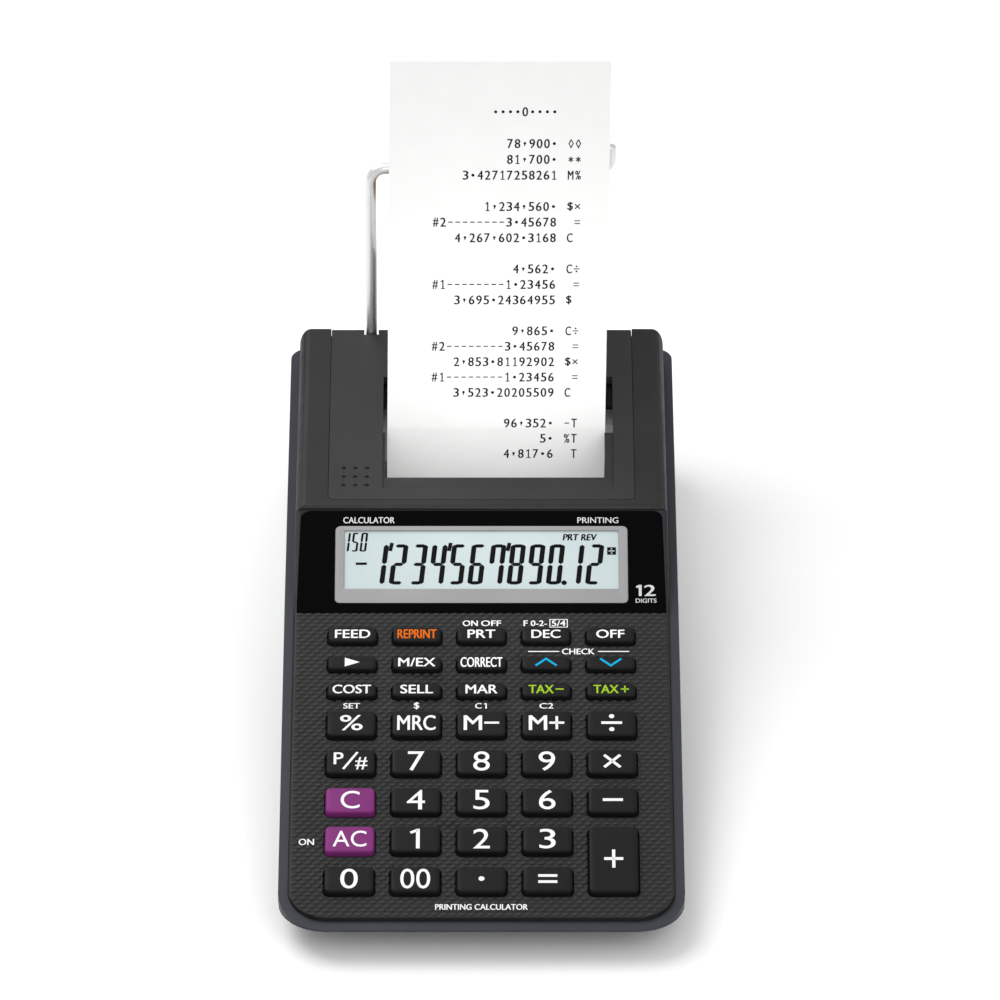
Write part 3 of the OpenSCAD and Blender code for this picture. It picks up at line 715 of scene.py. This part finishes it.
def segment_marks(char, w, h, line):
    """One seven-segment character: pointed bars, leaning to the right."""
    half, gap, cross = h / 2, line * 0.04, line * 0.78
    tip = line * 0.42

    def level(y, x0, x1):
        return [(x0, y), (x0 + tip, y + cross / 2), (x1 - tip, y + cross / 2), (x1, y),
                (x1 - tip, y - cross / 2), (x0 + tip, y - cross / 2)]

    def upright(x, y0, y1):
        return [(x, y0), (x + line / 2, y0 + tip), (x + line / 2, y1 - tip), (x, y1),
                (x - line / 2, y1 - tip), (x - line / 2, y0 + tip)]

    left, right = -w / 2 + line / 2, w / 2 - line / 2
    low, high = -half + cross / 2, half - cross / 2
    reach = line * 0.3
    shapes = {
        "a": level(high, left - gap, right + gap), "g": level(0, left + gap, right - gap),
        "d": level(low, left - gap, right + gap),
        "b": upright(right, gap, high + reach), "c": upright(right, low - reach, -gap),
        "f": upright(left, gap, high + reach), "e": upright(left, low - reach, -gap),
    }
    return [outline_mark([(x + LCD_SLANT * y, y) for x, y in shapes[s]]) for s in SEGMENTS[char]]


def build_display_marks():
    """The digits, their ticks and point, the small marks round them, and the panel's words."""
    marks = []
    for i, char in enumerate("123456789012"):
        x = FIRST_DIGIT + i * DIGIT_PITCH
        marks += [moved(mark, x, DIGIT_MID) for mark in segment_marks(char, 3.95, 12.3, 1.3)]
    for i in (0, 3, 6):
        x = FIRST_DIGIT + i * DIGIT_PITCH
        marks.append(stroke_mark([(x + 2.85, DIGIT_MID + 4.1), (x + 3.35, DIGIT_MID + 6.6)], 1.0))
    marks.append(disc_mark(FIRST_DIGIT + 9 * DIGIT_PITCH + 2.2, DIGIT_MID - 5.6, 0.72))
    for i, char in enumerate("150"):
        x = FIRST_SMALL + i * SMALL_PITCH
        marks += [moved(mark, x, SMALL_MID) for mark in segment_marks(char, 1.75, 5.8, 0.58)]
    marks.append(bar_mark(-31.2, 15.5, 2.9, 0.75))
    marks.append(word("PRT REV", 8.8, 2.0, 25.6, 23.6, 0.22, 0.12))
    marks.append(bar_mark(*SIGN_SPOT, 2.3, 2.3))
    marks_piece("display_segments", marks, display, -GLASS_DEPTH + 0.02, LCD_INK, "case")
    sign = joined([bar_mark(0, 0, 1.5, 0.3), disc_mark(0, 0.65, 0.2), disc_mark(0, -0.65, 0.2)])
    marks_piece("display_sign", [moved(sign, *SIGN_SPOT)], display, -GLASS_DEPTH + 0.04, LCD, "case")
    panel_marks = [
        word("CALCULATOR", 13.4, 1.9, -29.3, 28.5, 0.08), word("PRINTING", 10.7, 1.8, 30.3, 28.5, 0.04),
        moved(one_mark(3.4, 0.75), 40.8, 7.0), word("2", 3.0, 3.4, 43.6, 7.0, 0.22),
        word("DIGITS", 5.4, 1.3, 42.6, 3.9, 0.04),
    ]
    marks_piece("panel_legends", panel_marks, display, 0.03, SILVER, "case")


build_display_module()
build_display_marks()

# ---------------------------------------------------------------- paper
PAPER_LEAN = math.radians(14.5)
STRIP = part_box("paper_strip")
PAPER_W = (STRIP[1].x - STRIP[0].x) / MM
PAPER_X = (STRIP[1].x + STRIP[0].x) / 2 / MM
PAPER_TOP = STRIP[1].z / MM
TOP_GAP = 0.03
# y and z, from the case's front edge and the floor, of the strip's foot and of the inlet
PAPER_FOOT = (161.9, 22.0)
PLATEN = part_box("platen_roller")
PLATEN_C = (((PLATEN[0].y + PLATEN[1].y) / 2 - CASE_FRONT) / MM, (PLATEN[0].z + PLATEN[1].z) / 2 / MM)
WRAP_R = 5.62
INLET = (207.9, 37.6)
# how far the strip drifts to the right over its height
SIDE_LEAN = 1.2
SHEET_T = 0.07
CURL_FROM, CURL = 85.0, 0.5


def side(y, z):
    """A point of the side view, y from the case's front edge, in mm."""
    return np.array((y, z))


def standing(height):
    """The standing strip's side view at a height above its foot, curling back towards its top."""
    z = PAPER_FOOT[1] + height
    y = PAPER_FOOT[0] + height * math.tan(PAPER_LEAN)
    curl = max(0.0, height - CURL_FROM) / (PAPER_TOP - PAPER_FOOT[1] - CURL_FROM)
    return side(y + CURL * curl ** 2, z)


def strip_path():
    """Side view of the paper from the inlet, under the platen and up to its top edge."""
    reach = math.hypot(INLET[0] - PLATEN_C[0], INLET[1] - PLATEN_C[1])
    turn = math.atan2(INLET[1] - PLATEN_C[1], INLET[0] - PLATEN_C[0]) - math.acos(WRAP_R / reach)
    end = -math.pi - PAPER_LEAN
    path = [side(*INLET)]
    for i in range(21):
        a = turn + (end - turn) * i / 20
        path.append(side(PLATEN_C[0] + WRAP_R * math.cos(a), PLATEN_C[1] + WRAP_R * math.sin(a)))
    rise = PAPER_TOP - PAPER_FOOT[1] - TOP_GAP
    path += [standing(rise * i / 40) for i in range(1, 41)]
    return path


def sheet_mesh(path, across, thickness, columns=12):
    """A thin closed sheet along a side-view path. across(p, t) gives x for t from -1 to 1."""
    rings = []
    for k, p in enumerate(path):
        a, b = path[max(0, k - 1)], path[min(len(path) - 1, k + 1)]
        d = (b - a) / np.linalg.norm(b - a)
        n = np.array((-d[1], d[0])) * thickness / 2
        ring = []
        for sign in (1, -1):
            ts = [-1 + 2 * i / columns for i in range(columns + 1)]
            for t in ts if sign > 0 else reversed(ts):
                q = p + sign * n
                ring.append(Vector((across(p, t) * MM, CASE_FRONT + q[0] * MM, q[1] * MM)))
        rings.append(ring)
    return loft(rings)


def strip_x(p, t):
    """Where the strip's width puts t, from -1 at its left edge to 1 at its right, at a side-view point."""
    rise = max(0.0, p[1] - PAPER_FOOT[1]) / (PAPER_TOP - PAPER_FOOT[1])
    behind = p[0] >= 200
    return PAPER_X + (0.0 if behind else SIDE_LEAN * rise) + t * PAPER_W / 2


verts, faces = sheet_mesh(strip_path(), strip_x, SHEET_T)
mesh_piece("receipt_strip", verts, faces, PAPER, "case", "paper_strip")

CHAR_PITCH, CHAR_SIZE = 1.915, (1.5, 2.55)
LINE_PITCH, FIRST_LINE = 4.23, 10.2
NUMBER_END, SYMBOL_START = 15.2, 18.6
INK_OUT = 0.02
# the lines from the foot up: a number and a symbol, or None for a gap
RECEIPT = [
    ("4,817.6", " T"), ("5.", "%T"), ("96,352.", "-T"), None,
    ("3,523.20205509", "C"), ("#1--------1.23456", " ="), ("2,853.81192902", "$x"),
    ("#2--------3.45678", " ="), ("9,865.", "C/"), None,
    ("3,695.24364955", "$"), ("#1--------1.23456", " ="), ("4,562.", "C/"), None,
    ("4,267,602.3168", "C"), ("#2--------3.45678", " ="), ("1,234,560.", "$x"), None,
    ("3.42717258261", "M%"), ("81,700.", "**"), ("78,900.", "oo"), None, ("....0....", ""),
]


def receipt_char(char):
    """One character of the print, about the origin."""
    w, h = CHAR_SIZE
    if char == "-":
        return bar_mark(0, 0, w * 0.8, 0.3)
    if char == ".":
        return disc_mark(0, 0, 0.42, 10)
    if char == ",":
        return joined([disc_mark(0, 0.1, 0.36, 10), stroke_mark([(0.16, 0.1), (-0.1, -0.65)], 0.26)])
    if char == "x":
        return cross_mark(1.3, 0.3)
    if char == "/":
        return joined([bar_mark(0, 0, 1.5, 0.28), disc_mark(0, 0.7, 0.26, 8), disc_mark(0, -0.7, 0.26, 8)])
    if char == "o":
        return stroke_mark([(0, 1.1), (0.55, 0), (0, -1.1), (-0.55, 0), (0, 1.1)], 0.28)
    if char == "*":
        tips = [(0.7 * math.cos(a), 0.8 * math.sin(a)) for a in (math.pi / 2, math.pi / 6, -math.pi / 6)]
        return joined([stroke_mark([(x, y), (-x, -y)], 0.28) for x, y in tips])
    if char == "=":
        return joined([bar_mark(0, 0.38, 1.45, 0.26), bar_mark(0, -0.38, 1.45, 0.26)])
    if char == "1":
        flag = stroke_mark([(0.1, h / 2 - 0.12), (-0.45, h / 2 - 0.6)], 0.28)
        return joined([bar_mark(0.1, 0, 0.33, h), flag, bar_mark(0.1, -h / 2 + 0.12, 1.1, 0.24)])
    return word(char, w, h, bold=0.13)


def on_strip(x, height, lift):
    """A point of the print: x from the strip's middle, height above its foot, lift off its face."""
    p, q = standing(height), standing(height + 0.5)
    d = (q - p) / np.linalg.norm(q - p)
    p = p + np.array((-d[1], d[0])) * (SHEET_T / 2 + INK_OUT + lift)
    return Vector(((strip_x(p, 0) + x) * MM, CASE_FRONT + p[0] * MM, p[1] * MM))


def build_receipt_print():
    parts = []
    for k, line in enumerate(RECEIPT):
        if line is None:
            continue
        number, symbol = line
        height = FIRST_LINE + k * LINE_PITCH
        spots = [(c, NUMBER_END - (len(number) - 0.5 - i) * CHAR_PITCH) for i, c in enumerate(number)]
        spots += [(c, SYMBOL_START + i * CHAR_PITCH) for i, c in enumerate(symbol)]
        for char, x in spots:
            if char == " ":
                continue
            mark, faces = receipt_char(char)
            up = math.cos(PAPER_LEAN)
            placed = [on_strip(x + v[0], height + v[1] * up, sum(v[2:])) for v in mark]
            parts.append((placed, faces))
    verts, faces = joined(parts)
    mesh_piece("receipt_print", verts, faces, PRINT, "case")


build_receipt_print()

# the roll, its card core, and the loose paper from the roll down to the inlet
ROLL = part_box("paper_roll")
ROLL_C = Vector((0, (ROLL[0].y + ROLL[1].y) / 2, (ROLL[0].z + ROLL[1].z) / 2))
ROLL_R = (ROLL[1].z - ROLL[0].z) / 2 / MM - 0.02
# the wound paper's left side stands in from the CAD roll's, so that the strip hides it
ROLL_TRIM = 1.0
ROLL_X = (ROLL[0].x / MM + ROLL_TRIM, ROLL[1].x / MM)
CORE_R, CORE_T = 6.0, 1.0
ROLL_EDGE = (0.2, 0.25)
SLACK, SLACK_STEPS = 0.9, 24
WRAP_STEP, WRAP_OUT = math.radians(4), 0.08


def lathe(profile, centre, sides=96):
    """A ring of revolution about a line along X: profile is a closed list of (x, r) in mm."""
    n = len(profile)
    verts, faces = [], []
    for i in range(sides):
        a = 2 * math.pi * i / sides
        c, s = math.cos(a), math.sin(a)
        verts += [Vector((x * MM, centre.y + r * MM * c, centre.z + r * MM * s)) for x, r in profile]
    for k in range(sides):
        for i in range(n):
            j, m = (i + 1) % n, (k + 1) % sides
            faces.append((k * n + i, k * n + j, m * n + j, m * n + i))
    return verts, faces


def ring_profile(x0, x1, r0, r1, edge):
    """A tube's cross-section, as (x, r), with its outer edges cut by edge, (along, in)."""
    along, inward = edge
    return [(x0, r0), (x0, r1 - inward), (x0 + along, r1), (x1 - along, r1), (x1, r1 - inward), (x1, r0)]


def build_roll():
    """The wound paper, whose sides show its turns, on a card core."""
    x0, x1 = ROLL_X
    verts, faces = lathe(ring_profile(x0, x1, CORE_R + CORE_T + 0.02, ROLL_R, ROLL_EDGE), ROLL_C)
    kinds = []
    for face in faces:
        xs = [verts[i].x / MM for i in face]
        kinds.append(1 if max(xs) - min(xs) < 0.05 else 0)
    mesh_piece("paper_roll_wound", verts, faces, [PAPER, wound_edge("roll_side", ROLL_C)], "roll",
               "paper_roll", kinds)
    core = [(x0 + 0.3, CORE_R), (x0 + 0.1, CORE_R + 0.2), (x0 + 0.1, CORE_R + CORE_T),
            (x1 - 0.1, CORE_R + CORE_T), (x1 - 0.1, CORE_R + 0.2), (x1 - 0.3, CORE_R)]
    verts, faces = lathe(core, ROLL_C, 64)
    mesh_piece("paper_roll_core", verts, faces, CARD, "roll")


def build_loose_paper():
    """The paper from the back of the roll down to the inlet, with a little slack."""
    c = side((ROLL_C.y - CASE_FRONT) / MM, ROLL_C.z / MM)
    start = side(*INLET)
    v = c - start
    reach = np.linalg.norm(v)
    aim = math.atan2(v[1], v[0]) - math.asin(ROLL_R / reach)
    length = math.sqrt(reach ** 2 - ROLL_R ** 2)
    d = side(math.cos(aim), math.sin(aim))
    n = side(math.sin(aim), -math.cos(aim))
    path = []
    for i in range(SLACK_STEPS + 1):
        t = i / SLACK_STEPS
        path.append(start + d * length * t + n * SLACK * math.sin(math.pi * t))
    for i in range(1, 6):
        a = math.atan2(-d[0], d[1]) + WRAP_STEP * i
        path.append(c + (ROLL_R + WRAP_OUT) * side(math.cos(a), math.sin(a)))
    verts, faces = sheet_mesh(path, lambda p, t: PAPER_X + t * (PAPER_W / 2 - 0.2), SHEET_T)
    web = mesh_piece("paper_loose", verts, faces, PAPER, None)
    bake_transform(web)


build_roll()
build_loose_paper()

# ---------------------------------------------------------------- wire arm
ARM_LEAN = math.radians(9.24)
ARM_PIVOT = (203.54, 25.0)
ARM_LEN, WIRE_R, LEG_X, TIP_X = 65.1, 1.5, -29.4, 34.1
AXLE_END, TIP_RISE = -40.6, 7.0
# the wire's bends: at the axle, at the top of the leg, and at the upturned tip
AXLE_BEND, TOP_BEND, TIP_BEND = 2.5, 4.0, 3.0
# the wire's rounded ends: distance in from the end, and radius there
WIRE_END = ((0.0, 0.7), (0.1, 1.1), (0.35, 1.4))
END_LEN = 0.7
WIRE_SIDES, BEND_STEPS = 28, 10


def arm_point(x, up):
    """A point of the arm's own plane: x across, and up from its pivot along its lean."""
    y = ARM_PIVOT[0] + up * math.sin(ARM_LEAN)
    z = ARM_PIVOT[1] + up * math.cos(ARM_LEAN)
    return Vector((x * MM, CASE_FRONT + y * MM, z * MM))


def arm_bend(cx, cy, r, a0, a1):
    turns = [math.radians(a0 + (a1 - a0) * i / BEND_STEPS) for i in range(BEND_STEPS + 1)]
    return [arm_point(cx + r * math.cos(a), cy + r * math.sin(a)) for a in turns]


def wire_ring(centre, along, r):
    """A ring of points round the wire where it runs along a direction."""
    out = Vector((0, math.cos(ARM_LEAN), -math.sin(ARM_LEAN)))
    flat = along.cross(out).normalized()
    turns = [2 * math.pi * i / WIRE_SIDES for i in range(WIRE_SIDES)]
    return [centre + (flat * math.cos(a) + out * math.sin(a)) * r * MM for a in turns]


def build_arm():
    """One bent wire: axle, leg, spindle and upturned tip, with rounded ends."""
    path = [arm_point(AXLE_END, 0.0), arm_point(-36.0, 0.0)]
    path += arm_bend(LEG_X - AXLE_BEND, AXLE_BEND, AXLE_BEND, -90, 0)
    path += arm_bend(LEG_X + TOP_BEND, ARM_LEN - TOP_BEND, TOP_BEND, 180, 90)
    path += arm_bend(TIP_X - TIP_BEND, ARM_LEN + TIP_BEND, TIP_BEND, -90, 0)
    path.append(arm_point(TIP_X, ARM_LEN + TIP_RISE))
    start = (path[1] - path[0]).normalized()
    end = (path[-1] - path[-2]).normalized()
    rings = [wire_ring(path[0] + start * inset * MM, start, r) for inset, r in WIRE_END]
    rings.append(wire_ring(path[0] + start * END_LEN * MM, start, WIRE_R))
    for k in range(1, len(path) - 1):
        rings.append(wire_ring(path[k], (path[k + 1] - path[k - 1]).normalized(), WIRE_R))
    rings.append(wire_ring(path[-1] - end * END_LEN * MM, end, WIRE_R))
    rings += [wire_ring(path[-1] - end * inset * MM, end, r) for inset, r in reversed(WIRE_END)]
    verts, faces = loft(rings)
    mesh_piece("wire_arm", verts, faces, WIRE, "arm", "paper_arm", sharp=60)


build_arm()

# ---------------------------------------------------------------- stage, light and camera
FLOOR = 4.0
floor_mesh = bpy.data.meshes.new("studio_floor")
corners = [(-FLOOR, -FLOOR, 0), (FLOOR, -FLOOR, 0), (FLOOR, FLOOR, 0), (-FLOOR, FLOOR, 0)]
floor_mesh.from_pydata(corners, [], [(0, 1, 2, 3)])
floor = bpy.data.objects.new("studio_floor", floor_mesh)
bpy.context.scene.collection.objects.link(floor)
floor_finish = Nodes("studio_white")
floor_finish.tint(floor_finish.noise(3.0), (0.93, 0.93, 0.93), (0.95, 0.95, 0.95))
floor_finish.bsdf.inputs["Roughness"].default_value = 0.9
floor_mesh.materials.append(floor_finish.mat)

world = bpy.data.worlds.new("studio")
bpy.context.scene.world = world
world.use_nodes = True
world.node_tree.nodes["Background"].inputs["Color"].default_value = (1, 1, 1, 1)
world.node_tree.nodes["Background"].inputs["Strength"].default_value = 0.74
bpy.context.scene.view_settings.view_transform = "Standard"


def lamp(light, position, target):
    """An object for a light, turned to its target. Positions are in metres."""
    holder = bpy.data.objects.new(light.name, light)
    holder.location = position
    holder.rotation_euler = (Vector(target) - Vector(position)).to_track_quat("-Z", "Y").to_euler()
    bpy.context.scene.collection.objects.link(holder)


def softbox(name, position, target, size, power):
    light = bpy.data.lights.new(name, "AREA")
    light.shape, light.size, light.size_y, light.energy = "RECTANGLE", size, size, power
    lamp(light, position, target)


softbox("key_light", (-0.7, 0.6, 1.25), (0, 0, 0.03), 1.1, 15)
softbox("fill_light", (0.9, -1.2, 1.3), (0, 0, 0.05), 1.4, 6)
beam = bpy.data.lights.new("paper_light", "SPOT")
beam.energy, beam.spot_size, beam.spot_blend = 34, math.radians(6.6), 1.0
beam.shadow_soft_size = 0.05
beam_target = deck(PAPER_X, 30.0, 4.0)
lamp(beam, beam_target + Vector((0, -0.92, 0.77)), beam_target)

# the camera's height angle, what it looks at (y and z in the side view), its distance and its lens
CAMERA_ELEVATION = math.radians(37.8)
CAMERA_AIM = (147.6, 29.8)
CAMERA_DISTANCE = 2080.6
CAMERA_LENS = 285.3
camera_data = bpy.data.cameras.new("camera")
camera_data.lens, camera_data.sensor_width = CAMERA_LENS, 36.0
camera_data.shift_x = 0.0185
camera_data.clip_start, camera_data.clip_end = 0.05, 50
camera = bpy.data.objects.new("camera", camera_data)
aim = Vector((0, CASE_FRONT + CAMERA_AIM[0] * MM, CAMERA_AIM[1] * MM))
back = Vector((0, -math.cos(CAMERA_ELEVATION), math.sin(CAMERA_ELEVATION)))
camera.location = aim + back * CAMERA_DISTANCE * MM
camera.rotation_euler = (math.pi / 2 - CAMERA_ELEVATION, 0, 0)
bpy.context.scene.collection.objects.link(camera)
bpy.context.scene.camera = camera
